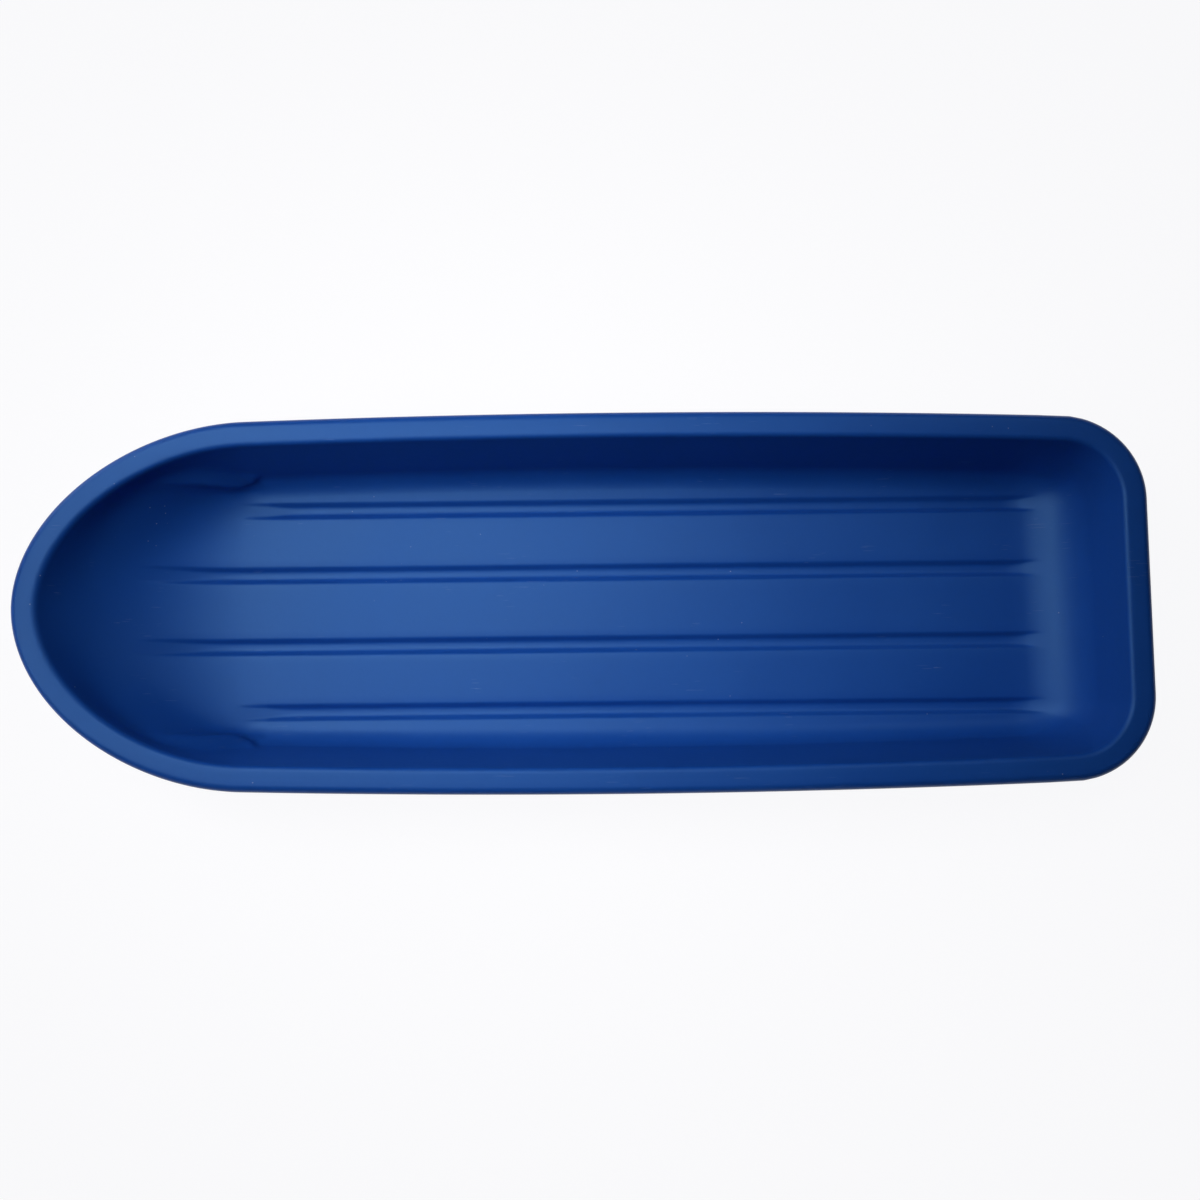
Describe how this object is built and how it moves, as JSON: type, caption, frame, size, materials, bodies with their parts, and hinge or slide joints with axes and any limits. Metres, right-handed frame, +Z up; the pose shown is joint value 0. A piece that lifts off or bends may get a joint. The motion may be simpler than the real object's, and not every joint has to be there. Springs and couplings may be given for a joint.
{
  "type": "pulk sled",
  "caption": "Long one-piece plastic tub sled with a rounded nose, square stern, turned-down rim and runner channels pressed into the floor.",
  "frame": {"origin": "middle of the sled's length and width, on the ground under the runner bottoms", "axes": "+X towards the rounded nose, +Y across the sled, +Z up out of the tub"},
  "size_m": [1.524, 0.51, 0.152],
  "materials": {
    "sled_shell": "satin polyethylene sheet, blue, as formed"
  },
  "bodies": {
    "root": {"sled_shell": "sled_shell"}
  },
  "joints": []
}
